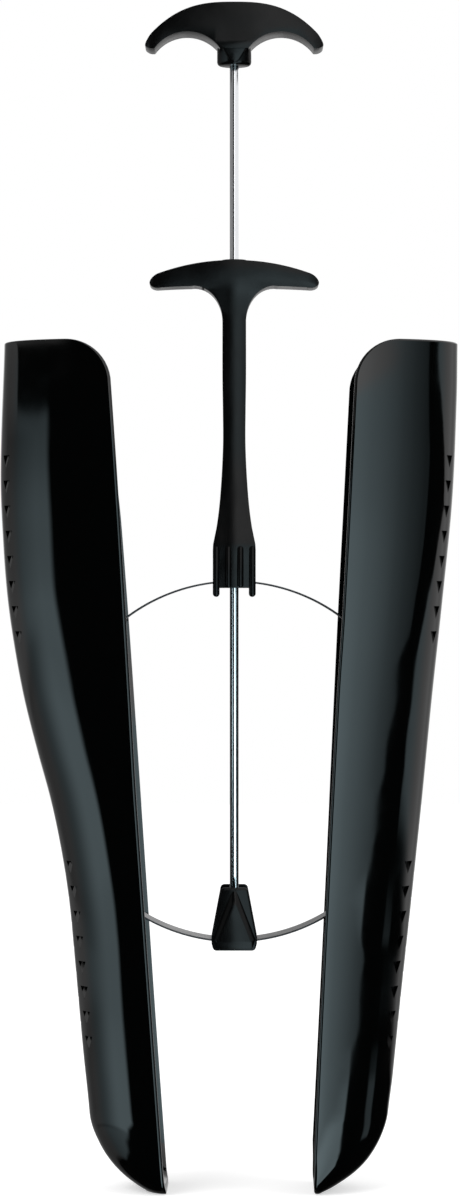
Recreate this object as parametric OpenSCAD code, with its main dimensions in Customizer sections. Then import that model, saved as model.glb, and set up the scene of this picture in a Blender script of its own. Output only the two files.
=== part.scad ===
// Boot shaper: two half shells on a spring-steel hoop, closed by pressing a palm handle and its rod
// down through a T grip. Millimetres, X to the right, Y away from the viewer, Z up.
// The origin is on the rod's axis at the height of the shells' tips. Shown relaxed, shells apart.

/* [Hoop] */
// Outside radius of the relaxed hoop
hoop_r = 80.9; // [78:0.1:88]
// Height of the hoop's centre above the tips
hoop_z = 192.6; // [188:0.1:198]
// Width of the spring band
band_w = 20; // [16:0.5:21]
// Thickness of the spring band
band_t = 0.75; // [0.6:0.05:0.9]

/* [Shells] */
// Height of each half shell
shell_h = 380; // [360:1:410]
// Wall of the shells
wall = 2.2; // [1.8:0.1:2.4]
// Radius of the rounded outer edge along the open side
lip_r = 1.2; // [0.8:0.1:1.8]
// Radius of the upper corners, seen from the side
corner_r = 20; // [12:0.5:26]
// Height over which the lower end rounds in to the tip
toe_h = 34; // [30:1:40]
// Thickness of the flat that each tip stands on
tip_flat = 3; // [2.5:0.1:4]
// Half width of the shells at their fullest
shell_half_w = 37.5; // [36:0.5:40]
// How square the shells' section is in the upper half, 2 is an ellipse
section_n = 2.4; // [2.2:0.1:2.8]
// How square it is towards the toe
section_low_n = 2; // [1.9:0.1:2.2]
// Share of the width that the section loses from the open side to the back
splay = 0.09; // [0:0.01:0.12]

/* [Vents] */
// Side of each triangular vent
vent_side = 6.5; // [4:0.1:7]
// Upright spacing of the vents in a column
vent_pitch = 11.2; // [10:0.1:12.5]
// Sideways spacing of the vent columns
vent_col = 15.4; // [12:0.1:17]
// Number of vents in a column of the upper group
vent_rows_up = 8; // [4:1:8]
// Number of vents in a column of the lower group
vent_rows_low = 8; // [4:1:8]
// Height of the top vent of the upper group
vent_top = 333; // [328:1:340]
// Height of the top vent of the lower group
vent_low_top = 152; // [146:1:156]

/* [Band seats] */
// Height of the moulded seat above the hoop's centre
seat_up = 19; // [15:0.5:22]
// Height of the moulded seat below the hoop's centre
seat_down = 13; // [12.5:0.5:14]
// Width of the cheek on each side of the band
cheek_w = 4; // [3.6:0.1:5]
// Thickness of the keeper plate
keeper_t = 1.6; // [1.2:0.1:2]
// Half height of the keeper plate
keeper_half_h = 10.5; // [9.5:0.5:12]
// Half height of the joiner between the band ends
joiner_half_h = 7; // [6.5:0.1:7.2]
// Width of the joiner
joiner_w = 16; // [10:0.5:17]
// Thickness of the joiner
joiner_t = 0.6; // [0.5:0.05:0.7]
// Height of each joiner rivet above or below the hoop's centre
rivet_off = 4.7; // [4.4:0.1:5]
// Radius of the rivets' shanks
rivet_r = 1; // [0.8:0.05:1.1]
// Radius of the rivets' heads
rivet_head_r = 1.9; // [1.7:0.05:2]

/* [Rod] */
// Diameter of the rod
rod_d = 4; // [3.5:0.1:4.5]
// Radial running clearance of the rod in its bushes
rod_run = 0.05; // [0.03:0.01:0.08]
// Free rod between the T grip and the palm handle
pull_gap = 88.1; // [70:0.1:110]
// How far the rod's upper end reaches into the palm handle
rod_seat_up = 20; // [16:0.5:22]

/* [T grip] */
// Height of the arms' underside above the top of the hoop
stem_len = 132; // [120:0.5:150]
// Length of the T grip from end to end
grip_len = 76; // [70:1:84]
// Thickness of the T grip at its middle
grip_t = 11.4; // [10.5:0.1:13]
// Depth of both grips, front to back
grip_d = 20; // [18:0.5:22]
// Half width of the stem below the arms
stem_half_w = 5.3; // [5:0.1:6]
// Half depth of the stem
stem_half_d = 6.4; // [6:0.1:7]
// Height of the fillets between stem and arms
fillet_h = 15.5; // [12:0.5:18]
// Width of the foot
foot_w = 19.2; // [18:0.1:22]
// Wall of the foot in front of and behind the band
fork_t = 2.3; // [2:0.1:3]
// How far the foot's body reaches below the top of the hoop
foot_drop = 3.3; // [3:0.1:3.6]
// How far the legs reach below the foot's body
leg_drop = 4; // [3:0.1:5]
// Width of each leg and rib of the foot
rib_w = 3; // [2.6:0.1:3.2]
// Depth of the grooves between the ribs
groove_d = 1.4; // [1:0.1:1.6]
// Height of the grooves
groove_h = 17; // [14:0.5:19]

/* [Palm handle] */
// Length of the palm handle from end to end
palm_len = 80; // [76:1:86]
// Height of the palm handle's crown above the lower end of its hub
palm_crown = 27.4; // [26:0.1:30]
// Fall of the palm handle's top from the crown to its ends
palm_fall = 17; // [15:0.1:17.5]
// Radius of the two finger arches
arch_r = 18; // [16.5:0.1:18.4]
// Distance of the arches' centres from the rod's axis
arch_x = 21.1; // [20.5:0.1:22]
// Radius of the hub
hub_r = 7.7; // [7:0.1:8.2]
// Height of the palm handle's underside above the lower end of the hub
hub_h = 6.7; // [5:0.1:7.5]

/* [Bottom clip] */
// Width of the clip at its top
clip_top_w = 12.5; // [11:0.5:15]
// Greatest width of the clip
clip_w = 20.4; // [19.5:0.1:22]
// Height of the clip
clip_h = 28.2; // [26:0.1:32]
// How far the clip reaches below the bottom of the hoop
clip_drop = 3.7; // [3.4:0.1:4.2]
// How far the wedge on the clip's faces stands out
wedge_t = 1.4; // [0.8:0.1:2]

/* [Fasteners and bushes] */
// Shank radius of the screws in the foot and the clip
screw_r = 1.2; // [1:0.05:1.3]
// Head radius of those screws
screw_head_r = 2.2; // [2:0.05:2.4]
// Head height of those screws
screw_head_h = 1.4; // [1.2:0.1:1.5]
// Distance of those screws from the rod's axis
screw_y = 6.6; // [6:0.1:7]
// Length of those screws below the head
screw_len = 8; // [6:0.5:10]
// Shank radius of the keeper screws
kscrew_r = 1; // [0.9:0.05:1.1]
// Head radius of the keeper screws
kscrew_head_r = 1.8; // [1.6:0.05:1.9]
// Length of the keeper screws in the seat
kscrew_len = 3.6; // [3:0.1:3.8]
// Radius of the two cross pins
pin_r = 1; // [0.8:0.05:1.1]
// Outside radius of the rod bushes
bush_r = 3.5; // [3.2:0.05:3.7]
// Length of the rod bushes
bush_len = 12; // [8:0.5:14]
// Radius of the upper bush's flange
flange_r = 5.4; // [4.6:0.1:6]
// Thickness of the upper bush's flange
flange_t = 0.8; // [0.6:0.1:1.2]

/* [Fits] */
// Gap between the band and pieces on other bodies
band_gap = 0.3; // [0.25:0.05:0.35]
// Gap between the band and what clamps it
clamp_gap = 0.1; // [0.05:0.01:0.15]
// Gap between a fixed pin, screw or rod and its hole
hole_gap = 0.05; // [0.03:0.01:0.08]
// Sideways gap between the band's edges and its channels
edge_gap = 0.3; // [0.2:0.05:0.4]

/* [Hidden] */
$fn = 96;

black_gloss = [0.05, 0.05, 0.055];
black_satin = [0.09, 0.09, 0.1];
black_steel = [0.13, 0.13, 0.14];
bright_steel = [0.72, 0.73, 0.75];

hoop_top = hoop_z + hoop_r;
hoop_bottom = hoop_z - hoop_r;
rod_r = rod_d / 2;
channel_half = band_w / 2 + edge_gap;
foot_half_d = channel_half + fork_t;
foot_bottom = hoop_top - foot_drop;
arm_under = hoop_top + stem_len;
arm_top = arm_under + grip_t;
hub_bottom = arm_top + pull_gap;
palm_under = hub_bottom + hub_h;
rod_top = hub_bottom + rod_seat_up;
clip_bottom = hoop_bottom - clip_drop;
clip_top = clip_bottom + clip_h;
rod_bottom = hoop_bottom + band_t + 1.6;
slack = 1;

// How far the band seats' face lies from the rod's axis: the joiner's inner corner, and a gap
joiner_out = hoop_r - band_t - band_gap;
joiner_in = joiner_out - joiner_t;
seat_x = sqrt(pow(joiner_in, 2) - pow(joiner_half_h, 2)) - band_gap;
seat_half_w = channel_half + cheek_w;
kscrew_y = channel_half + cheek_w / 2;

// Outline of each shell's back, as [height, distance outside the hoop's side]
calf_back = [[0, -17.9], [toe_h, -15.8], [62, -13.3], [107, -9.2], [130, -6.9], [152, -3.4], [175, 1.5],
             [197, 7.5], [220, 13.1], [242, 17.6], [265, 20.9], [290, 22.9], [322, 24.2],
             [shell_h, 22.3]];
shin_back = [[0, -14], [toe_h, -11.2], [85, -6.4], [130, -1.4], [175, 3.2], [220, 7.6], [265, 12.5],
             [310, 16.8], [355, 18.9], [shell_h, 19.5]];
// Open edge of each shell: distance inside the hoop's side at the tip, and its lean
calf_rim = [50.5, 0.069];
shin_rim = [46, 0.05];
// Half width of both shells as [height, share of the fullest]
side_shape = [[0, 0.66], [20, 0.69], [62, 0.72], [130, 0.77], [197, 0.86], [265, 0.96], [322, 1],
              [shell_h, 0.97]];
// Height of the rounding at the tip seen from the side, and how much of the width is left there
tip_round_h = 16;
tip_share = 0.58;
toe_n = 1.75;

// Smooth curve through points [at, value], flat beyond its ends
function span_of(p, at, i = 0) = i >= len(p) - 2 || at < p[i + 1][0] ? i : span_of(p, at, i + 1);
function tangent(p, i) =
    let (a = max(i - 1, 0), b = min(i + 1, len(p) - 1)) (p[b][1] - p[a][1]) / (p[b][0] - p[a][0]);
function curve_at(p, at) =
    let (q = max(p[0][0], min(at, p[len(p) - 1][0])), i = span_of(p, q),
         h = p[i + 1][0] - p[i][0], u = (q - p[i][0]) / h)
    p[i][1] * (1 + 2 * u) * pow(1 - u, 2) + p[i + 1][1] * pow(u, 2) * (3 - 2 * u)
    + h * u * (1 - u) * (tangent(p, i) * (1 - u) - tangent(p, i + 1) * u);

// Power of a cosine or sine that draws a squared ellipse
function squared(c, n) = sign(c) * pow(abs(c), 2 / n);

// Children drawn for the right side, mirrored to the left
module left() {
    mirror([1, 0, 0]) children();
}

// Closed skin over rings that hold the same number of points, each turning left seen from the last ring
module loft(rings) {
    n = len(rings[0]);
    m = len(rings);
    polyhedron(points = [for (r = rings) for (p = r) p],
               faces = concat([[for (j = [0:n - 1]) j]],
                              [[for (j = [n - 1:-1:0]) (m - 1) * n + j]],
                              [for (i = [0:m - 2]) for (j = [0:n - 1])
                                  [i * n + j, (i + 1) * n + j, (i + 1) * n + (j + 1) % n]],
                              [for (i = [0:m - 2]) for (j = [0:n - 1])
                                  [i * n + j, (i + 1) * n + (j + 1) % n, i * n + (j + 1) % n]]));
}

// Solid cylinder about the hoop's axis
module hoop_disc(r, half_w) {
    translate([0, 0, hoop_z]) rotate([90, 0, 0]) cylinder(r = r, h = 2 * half_w, center = true, $fn = 180);
}

// Stretch of the spring band between two angles about the hoop's centre
module band(from, to) {
    translate([0, 0, hoop_z]) rotate([90, 0, 0]) rotate([0, 0, from])
        rotate_extrude(angle = to - from, $fn = 180)
            translate([hoop_r - band_t, -band_w / 2]) square([band_t, band_w]);
}

// Point the children's Z outwards from the hoop's centre at an angle
module at_hoop(angle) {
    translate([0, 0, hoop_z]) rotate([0, 90 - angle, 0]) children();
}

// Shells

function rim_x(rim, z) = hoop_r - rim[0] + rim[1] * z;
function toe(z) = z >= toe_h ? 1 : z <= 0 ? 0 : pow(1 - pow((toe_h - z) / toe_h, toe_n), 1 / toe_n);
function shell_depth(back, rim, z) = hoop_r + curve_at(back, z) - rim_x(rim, z);
function tip_narrow(z) =
    z >= tip_round_h ? 1
    : tip_share + (1 - tip_share) * sqrt(1 - pow((tip_round_h - max(z, 0)) / tip_round_h, 2));
function shell_half(z) = shell_half_w * curve_at(side_shape, z) * tip_narrow(z);

function square_at(z) = curve_at([[110, section_low_n], [270, section_n]], z);

// Half of a squared ellipse from the open side at x0, depth d and half width w, splayed to the open side
function half_ring(x0, d, w, n) =
    [for (a = [-90:9:90])
        [x0 + d * squared(cos(a), n), w * squared(sin(a), n) * (1 - splay * squared(cos(a), n))]];

function outer_ring(back, rim, z) =
    let (x0 = rim_x(rim, z), w = shell_half(z), k = lip_r * (1 - sqrt(0.5)),
         d = max(tip_flat, shell_depth(back, rim, z) * toe(z)))
    [for (p = concat([[x0, lip_r - w], [x0 + k, k - w]],
                     half_ring(x0 + lip_r, d - lip_r, w, square_at(z)),
                     [[x0 + k, w - k], [x0, w - lip_r]]))
        [p[0], p[1], z]];

// The hollow runs straight for a little from the open side before it curves
function inner_ring(back, rim, z) =
    let (x0 = rim_x(rim, z), run = 0.37, w = shell_half(z - wall) - wall,
         d = max(0.4, shell_depth(back, rim, z) * toe(z - wall) - wall - run))
    [for (p = concat([[x0 - slack, -w]], half_ring(x0 + run, d, w, square_at(z)), [[x0 - slack, w]]))
        [p[0], p[1], z]];

toe_rings = [0, 1.2, 3.2, 6.5, 11, 16.5, 22, 28];
upper_rings = 26;
ring_heights = concat(toe_rings, [for (k = [0:upper_rings]) toe_h + k * (shell_h - toe_h) / upper_rings]);
inner_heights = concat([for (z = toe_rings) z + wall],
                       [for (k = [0:upper_rings])
                           toe_h + wall + k * (shell_h + slack - toe_h - wall) / upper_rings]);

// Side face of the outer wall at a height, a distance from the middle
function back_x(back, rim, y, z) =
    let (n = square_at(z), w = shell_half(z) * (1 - splay))
    rim_x(rim, z) + lip_r + (shell_depth(back, rim, z) - lip_r) * pow(1 - pow(abs(y) / w, n), 1 / n);
function back_turn(back, rim, y, z) =
    atan2(back_x(back, rim, y - 0.5, z) - back_x(back, rim, y + 0.5, z), 1);

// Triangular prism that points down, square to the wall
module vent(back, rim, y, z) {
    rise = vent_side * sqrt(3) / 2;
    translate([back_x(back, rim, y, z), y, z])
        rotate([0, 0, back_turn(back, rim, y, z)])
            rotate([90, 0, 90])
                linear_extrude(height = 5 * wall, center = true)
                    polygon([[-vent_side / 2, rise / 3], [vent_side / 2, rise / 3], [0, -2 * rise / 3]]);
}

module vents(back, rim) {
    for (group = [[vent_top, vent_rows_up], [vent_low_top, vent_rows_low]])
        for (row = [0:group[1] - 1]) {
            vent(back, rim, 0, group[0] - row * vent_pitch);
            for (y = [-vent_col, vent_col])
                vent(back, rim, y, group[0] - (row + 0.5) * vent_pitch);
        }
}

// Block that stays solid inside a shell, for the band to lie on
module seat_block() {
    depth = 40;
    translate([seat_x + depth / 2, 0, hoop_z + (seat_up - seat_down) / 2])
        cube([depth, 2 * seat_half_w, seat_up + seat_down], center = true);
}

// Room for the keeper, let into the wall beside the seat
module keeper_room() {
    depth = keeper_t + clamp_gap + slack;
    translate([seat_x + clamp_gap - depth / 2, 0, hoop_z])
        cube([depth, 2 * (seat_half_w + edge_gap), 2 * (keeper_half_h + edge_gap)], center = true);
}

module shell(back, rim) {
    corner_z = shell_h - corner_r;
    corner_x = rim_x(rim, corner_z) + corner_r;
    difference() {
        loft([for (z = ring_heights) outer_ring(back, rim, z)]);
        difference() {
            loft([for (z = inner_heights) inner_ring(back, rim, z)]);
            seat_block();
        }
        difference() {
            translate([corner_x - corner_r, 0, corner_z + corner_r])
                cube([2 * corner_r, 3 * shell_half_w, 2 * corner_r], center = true);
            translate([corner_x, 0, corner_z])
                rotate([90, 0, 0]) cylinder(r = corner_r, h = 4 * shell_half_w, center = true);
        }
        hoop_disc(hoop_r + band_gap, channel_half);
        keeper_room();
        for (y = [-kscrew_y, kscrew_y])
            translate([seat_x - slack, y, hoop_z]) rotate([0, 90, 0])
                cylinder(r = kscrew_r + hole_gap, h = kscrew_len + hole_gap + slack);
        vents(back, rim);
    }
}

module calf_shell() {
    color(black_gloss) left() shell(calf_back, calf_rim);
}

module shin_shell() {
    color(black_gloss) shell(shin_back, shin_rim);
}

// Plate across the band, with a window for the rivet heads
module keeper() {
    color(black_satin) difference() {
        translate([seat_x - keeper_t / 2, 0, hoop_z])
            cube([keeper_t, 2 * seat_half_w, 2 * keeper_half_h], center = true);
        translate([seat_x, 0, hoop_z])
            cube([3 * keeper_t, 2 * rivet_head_r + 2, 2 * (rivet_off + rivet_head_r) + 1.6], center = true);
        for (y = [-kscrew_y, kscrew_y])
            translate([seat_x, y, hoop_z]) rotate([0, 90, 0])
                cylinder(r = kscrew_r + hole_gap, h = 4 * keeper_t, center = true);
    }
}

module keeper_screws() {
    head_h = 1;
    color(bright_steel) for (y = [-kscrew_y, kscrew_y])
        translate([seat_x - keeper_t, y, hoop_z]) rotate([0, 90, 0]) {
            cylinder(r = kscrew_r, h = kscrew_len + keeper_t);
            translate([0, 0, -head_h]) difference() {
                cylinder(r = kscrew_head_r, h = head_h);
                cube([4 * kscrew_head_r, 0.5, 1], center = true);
            }
        }
}

rivet_turn = asin(rivet_off / hoop_r);

module joiner_holes(r) {
    for (turn = [-rivet_turn, rivet_turn]) at_hoop(turn)
        translate([0, 0, joiner_in - 2]) cylinder(r = r, h = 6);
}

// Lap plate behind the ends of the upper and lower band
module joiner() {
    turn = asin(joiner_half_h / joiner_out);
    color(black_steel) difference() {
        translate([0, 0, hoop_z]) rotate([90, 0, 0]) rotate([0, 0, -turn])
            rotate_extrude(angle = 2 * turn, $fn = 180)
                translate([joiner_in, -joiner_w / 2]) square([joiner_t, joiner_w]);
        joiner_holes(rivet_r + hole_gap);
    }
}

// Two rivets, their flat heads just clear of the joiner's hollow face
module rivets() {
    head_h = 0.5;
    head_z = joiner_in - hole_gap - head_h;
    color(bright_steel) for (turn = [-rivet_turn, rivet_turn]) at_hoop(turn)
        translate([0, 0, head_z]) {
            cylinder(r = rivet_head_r, h = head_h);
            cylinder(r = rivet_r, h = hoop_r - head_z);
        }
}

// Spring hoop, in two halves that meet behind the joiners

end_gap = 1.2;
end_turn = asin(end_gap / hoop_r);
rivet_play = 0.35;

module upper_band() {
    color(black_steel) difference() {
        band(end_turn, 180 - end_turn);
        at_hoop(90) translate([0, 0, hoop_r - 4]) cylinder(r = rod_r + 1, h = 8);
        for (y = [-screw_y, screw_y]) translate([0, y, hoop_top - 4]) cylinder(r = screw_r + 0.2, h = 8);
        joiner_holes(rivet_r + rivet_play);
        left() joiner_holes(rivet_r + rivet_play);
    }
}

module lower_band() {
    color(black_steel) difference() {
        band(180 + end_turn, 360 - end_turn);
        for (y = [-screw_y, screw_y]) translate([0, y, hoop_bottom - 4]) cylinder(r = screw_r + 0.2, h = 8);
        joiner_holes(rivet_r + rivet_play);
        left() joiner_holes(rivet_r + rivet_play);
    }
}

// T grip

// Rounded section across a bar that runs along X
function bar_ring(x, low, high, half_d, n) =
    [for (a = [0:15:345])
        [x, half_d * squared(cos(a), n), (low + high) / 2 + (high - low) / 2 * squared(sin(a), n)]];

// Rounded section across a post that runs along Z
function post_ring(z, half_w, half_d, n) =
    [for (a = [0:15:345]) [half_w * squared(cos(a), n), half_d * squared(sin(a), n), z]];

// Stations from end to end, closer together towards the ends
function stations(count) = [for (k = [0:count]) sin(-90 + 180 * k / count)];
// Share of the full section left at a station, rounded off over the last few millimetres
function end_round(s, len, over) =
    let (left = len / 2 * (1 - abs(s))) left >= over ? 1 : max(0.25, sqrt(1 - pow(1 - left / over, 2)));

// Section of a grip at a station, between two heights, drawn in over its last few millimetres
end_draw = 1.5;
function arm_ring(s, len, low, high, over) =
    let (e = end_round(s, len, over), mid = (low + high) / 2, half = (high - low) / 2 * e,
         half_d = (grip_d / 2 - end_draw * pow(s, 2)) * (0.4 + 0.6 * e))
    bar_ring(s * len / 2, mid - half, mid + half, half_d, 3.4);

grip_drop = 7.3;
grip_end_dip = 1.2;
function grip_high(s) = arm_top - grip_drop * pow(abs(s), 2.07);
function grip_low(s) = arm_under - grip_end_dip * pow(abs(s), 3);

module grip_arms() {
    loft([for (s = stations(36)) arm_ring(s, grip_len, grip_low(s), grip_high(s), 4)]);
}

stem_top = arm_under + 3;
fillet_reach = 12.6;
// Half width and half depth of the stem from the foot up, as [height above the foot's shoulder, size]
foot_shoulder = foot_bottom + groove_h;
stem_run = arm_under - fillet_h - foot_shoulder;
stem_widths = [[0, foot_w / 2], [6, foot_w / 2 - 1.2], [14, stem_half_w + 2.1], [24, stem_half_w + 0.3],
               [52, stem_half_w - 0.6], [74, stem_half_w - 0.2], [stem_run, stem_half_w]];
stem_depths = [[0, foot_half_d], [10, foot_half_d - 2.4], [26, stem_half_d + 1.2], [48, stem_half_d],
               [stem_run, stem_half_d]];

function fillet(z) =
    let (u = max(0, min(1, (z - foot_shoulder - stem_run) / fillet_h))) 1 - sqrt(1 - pow(u, 2));

module stem() {
    heights = concat([for (k = [0:17]) foot_shoulder + k * stem_run / 17],
                     [for (k = [1:6]) arm_under - fillet_h * (1 - sin(15 * k))], [stem_top]);
    deeper = grip_d / 2 - stem_half_d - 1.5;
    loft([for (z = heights)
        let (up = z - foot_shoulder, f = fillet(z))
        post_ring(z, curve_at(stem_widths, up) + fillet_reach * f,
                  curve_at(stem_depths, up) + deeper * f, 4)]);
}

// Forked foot: a body over the band, walls in front and behind, ribs, and a leg at each corner
module foot() {
    groove_w = (foot_w - 4 * rib_w) / 3;
    leg_x = (foot_w - rib_w) / 2;
    difference() {
        translate([0, 0, foot_bottom + groove_h / 2])
            cube([foot_w, 2 * foot_half_d, groove_h], center = true);
        for (k = [-1:1], front = [-1, 1])
            translate([k * (rib_w + groove_w), front * foot_half_d, 0]) {
                translate([0, 0, foot_bottom])
                    cube([groove_w, 2 * groove_d, 2 * groove_h - 8], center = true);
                translate([0, 0, foot_bottom + groove_h - 4]) rotate([90, 0, 0])
                    cylinder(r = groove_w / 2, h = 2 * groove_d, center = true);
            }
    }
    for (x = [-leg_x, leg_x], front = [-1, 1])
        translate([x, front * (foot_half_d - fork_t / 2), foot_bottom]) {
            translate([0, 0, -(leg_drop - rib_w / 2) / 2])
                cube([rib_w, fork_t, leg_drop - rib_w / 2], center = true);
            translate([0, 0, rib_w / 2 - leg_drop]) rotate([90, 0, 0])
                cylinder(r = rib_w / 2, h = fork_t, center = true);
        }
}

bush_low_z = hoop_top + 3;

module t_handle() {
    color(black_satin) difference() {
        union() {
            grip_arms();
            stem();
            foot();
        }
        translate([0, 0, hoop_top - slack]) cylinder(r = rod_r + 0.6, h = arm_top - hoop_top + 2 * slack);
        translate([0, 0, arm_top - bush_len]) cylinder(r = bush_r + hole_gap, h = bush_len + slack);
        translate([0, 0, hoop_top - slack])
            cylinder(r = bush_r + hole_gap, h = bush_low_z + bush_len - hoop_top + slack);
        hoop_disc(hoop_r + clamp_gap, channel_half);
        for (y = [-screw_y, screw_y])
            translate([0, y, hoop_top - slack]) cylinder(r = screw_r + hole_gap, h = screw_len + slack);
    }
}

module bush(bottom) {
    translate([0, 0, bottom]) difference() {
        cylinder(r = bush_r, h = bush_len);
        translate([0, 0, -slack]) cylinder(r = rod_r + rod_run, h = bush_len + 2 * slack);
    }
}

module upper_bush() {
    color(black_satin) {
        bush(arm_top - bush_len);
        translate([0, 0, arm_top]) difference() {
            cylinder(r = flange_r, h = flange_t);
            translate([0, 0, -slack]) cylinder(r = rod_r + rod_run, h = flange_t + 2 * slack);
        }
    }
}

module lower_bush() {
    color(black_satin) bush(bush_low_z);
}

// Screw that points up, its head at the bottom
module screw(length) {
    difference() {
        union() {
            cylinder(r = screw_head_r, h = screw_head_h);
            translate([0, 0, screw_head_h]) cylinder(r = screw_r, h = length);
        }
        cube([3 * screw_head_r, 0.6, 1.2], center = true);
    }
}

plate_half_w = foot_w / 2 - rib_w - 0.4;

module foot_plate() {
    color(black_satin) difference() {
        intersection() {
            translate([0, 0, foot_bottom + 5])
                cube([2 * plate_half_w, band_w - 2 * clamp_gap, 10], center = true);
            hoop_disc(hoop_r - band_t - clamp_gap, band_w);
        }
        translate([0, 0, foot_bottom - slack]) cylinder(r = rod_r + 0.6, h = 8);
        for (y = [-screw_y, screw_y]) translate([0, y, foot_bottom - slack]) {
            cylinder(r = screw_r + hole_gap, h = 8);
            cylinder(r = screw_head_r + hole_gap, h = screw_head_h + slack);
        }
    }
}

module foot_screws() {
    color(bright_steel) for (y = [-screw_y, screw_y]) translate([0, y, foot_bottom]) screw(screw_len);
}

// Palm handle

arch_z = hub_bottom - 3.8;
crown_z = hub_bottom + palm_crown;
function palm_high(s) = crown_z - palm_fall * pow(abs(s), 2.8);
function palm_low(s) =
    let (x = abs(s) * palm_len / 2)
    max(palm_under, arch_z + sqrt(max(0, pow(arch_r, 2) - pow(x - arch_x, 2))));

module palm_arms() {
    loft([for (s = stations(52)) arm_ring(s, palm_len, palm_low(s), palm_high(s), 3)]);
}

// Tongue down the middle of both faces, narrowing to the lower end of the hub
module tongue() {
    loft([post_ring(hub_bottom + 1, 1.8, 8.4, 6), post_ring(hub_bottom + 9, 6.7, 9.4, 6),
          post_ring(hub_bottom + 13, 8, 9.6, 6)]);
}

module top_handle() {
    pin_z = rod_top - 4;
    color(black_satin) difference() {
        union() {
            palm_arms();
            tongue();
            rotate_extrude()
                polygon([[0, hub_bottom], [hub_r - 1.4, hub_bottom], [hub_r - 0.4, hub_bottom + 0.4],
                         [hub_r, hub_bottom + 1.4], [hub_r, palm_under + 3], [0, palm_under + 3]]);
        }
        translate([0, 0, hub_bottom - slack]) cylinder(r = rod_r + hole_gap, h = rod_seat_up + slack);
        translate([0, -rod_r - 3, pin_z]) rotate([-90, 0, 0])
            cylinder(r = pin_r + hole_gap, h = grip_d);
    }
}

pin_len = grip_d / 2 + rod_r + 1;

module handle_pin() {
    color(bright_steel) translate([0, -rod_r - 2.8, rod_top - 4]) rotate([-90, 0, 0])
        cylinder(r = pin_r, h = pin_len);
}

module rod() {
    color(bright_steel) difference() {
        translate([0, 0, rod_bottom]) cylinder(r = rod_r, h = rod_top - rod_bottom);
        translate([0, 0, rod_top - 4]) rotate([90, 0, 0])
            cylinder(r = pin_r + hole_gap, h = 3 * rod_d, center = true);
        translate([0, 0, clip_pin_z]) rotate([0, 90, 0])
            cylinder(r = pin_r + hole_gap, h = 3 * rod_d, center = true);
    }
}

// Bottom clip

clip_pin_z = clip_bottom + 0.62 * clip_h;
clip_waist = clip_bottom + 5.6;
clip_half_d = channel_half + fork_t - wedge_t;
// Half width of the clip at a height above its waist
function clip_half(z) = clip_w / 2 + (clip_top_w - clip_w) / 2 * (z - clip_waist) / (clip_top - clip_waist);

// Raised wedge on one face, its point under the rod
module clip_wedge() {
    hull() {
        translate([0, clip_half_d - 0.5, clip_top - 1.6]) cube([3, 1, 0.4], center = true);
        translate([0, clip_half_d - 1, clip_bottom + 0.8])
            cube([clip_w - 4.2, 2, 0.4], center = true);
        translate([0, clip_half_d - 1, clip_waist])
            cube([clip_w - 1, 2, 1], center = true);
        translate([0, clip_half_d - 1 + wedge_t / 2, clip_waist - 1])
            cube([clip_w - 4.2, 2 + wedge_t, 1], center = true);
        translate([0, clip_half_d - 1 + wedge_t / 2, clip_top - 7])
            cube([2, 2 + wedge_t, 0.4], center = true);
    }
}

// Outline of the clip seen from the front: chamfered below, rounded above
function clip_outline(top_r) =
    let (half = clip_w / 2, top_half = clip_top_w / 2 - top_r, top_z = clip_top - top_r)
    concat([[2 - half, clip_bottom], [half - 2, clip_bottom], [half - 0.7, clip_bottom + 0.9],
            [half, clip_bottom + 3], [half, clip_waist]],
           [for (a = [0:15:90]) [top_half + top_r * cos(a), top_z + top_r * sin(a)]],
           [for (a = [90:15:180]) [top_r * cos(a) - top_half, top_z + top_r * sin(a)]],
           [[-half, clip_waist], [-half, clip_bottom + 3], [0.7 - half, clip_bottom + 0.9]]);

module bottom_clip() {
    color(black_satin) difference() {
        union() {
            rotate([90, 0, 0]) linear_extrude(height = 2 * clip_half_d, center = true)
                polygon(clip_outline(1.9));
            for (front = [0, 1]) mirror([0, front, 0]) clip_wedge();
        }
        difference() {
            translate([0, 0, clip_bottom]) cube([2 * clip_w, 2 * channel_half, 20], center = true);
            hoop_disc(hoop_r - band_t - clamp_gap, band_w);
        }
        translate([0, 0, rod_bottom - hole_gap]) cylinder(r = rod_r + hole_gap, h = clip_h);
        translate([0, 0, clip_pin_z]) rotate([0, 90, 0])
            cylinder(r = pin_r + hole_gap, h = 2 * clip_w, center = true);
        for (y = [-screw_y, screw_y])
            translate([0, y, hoop_bottom - slack]) cylinder(r = screw_r + hole_gap, h = screw_len + slack);
    }
}

module clip_pin() {
    color(bright_steel) translate([0, 0, clip_pin_z]) rotate([0, 90, 0])
        cylinder(r = pin_r, h = 2 * clip_half(clip_pin_z) - 1, center = true);
}

module clip_base() {
    color(black_satin) difference() {
        translate([0, 0, clip_bottom + 3])
            cube([clip_w - 3.8, band_w - 2 * clamp_gap, 6], center = true);
        hoop_disc(hoop_r + clamp_gap, band_w);
        for (y = [-screw_y, screw_y]) translate([0, y, clip_bottom - slack]) {
            cylinder(r = screw_r + hole_gap, h = 10);
            cylinder(r = screw_head_r + hole_gap, h = screw_head_h + slack);
        }
    }
}

module clip_screws() {
    color(bright_steel) for (y = [-screw_y, screw_y]) translate([0, y, clip_bottom]) screw(screw_len);
}

t_handle();
upper_bush();
lower_bush();
foot_plate();
foot_screws();
upper_band();
top_handle();
rod();
handle_pin();
bottom_clip();
clip_base();
clip_screws();
clip_pin();
lower_band();
calf_shell();
left() keeper();  // left_keeper
left() keeper_screws();  // left_keeper_screws
shin_shell();
keeper();  // right_keeper
keeper_screws();  // right_keeper_screws
left() joiner();  // left_joiner
left() rivets();  // left_rivets
joiner();  // right_joiner
rivets();  // right_rivets
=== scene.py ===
import math

import bmesh
import bpy
from mathutils import Matrix, Vector


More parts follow.
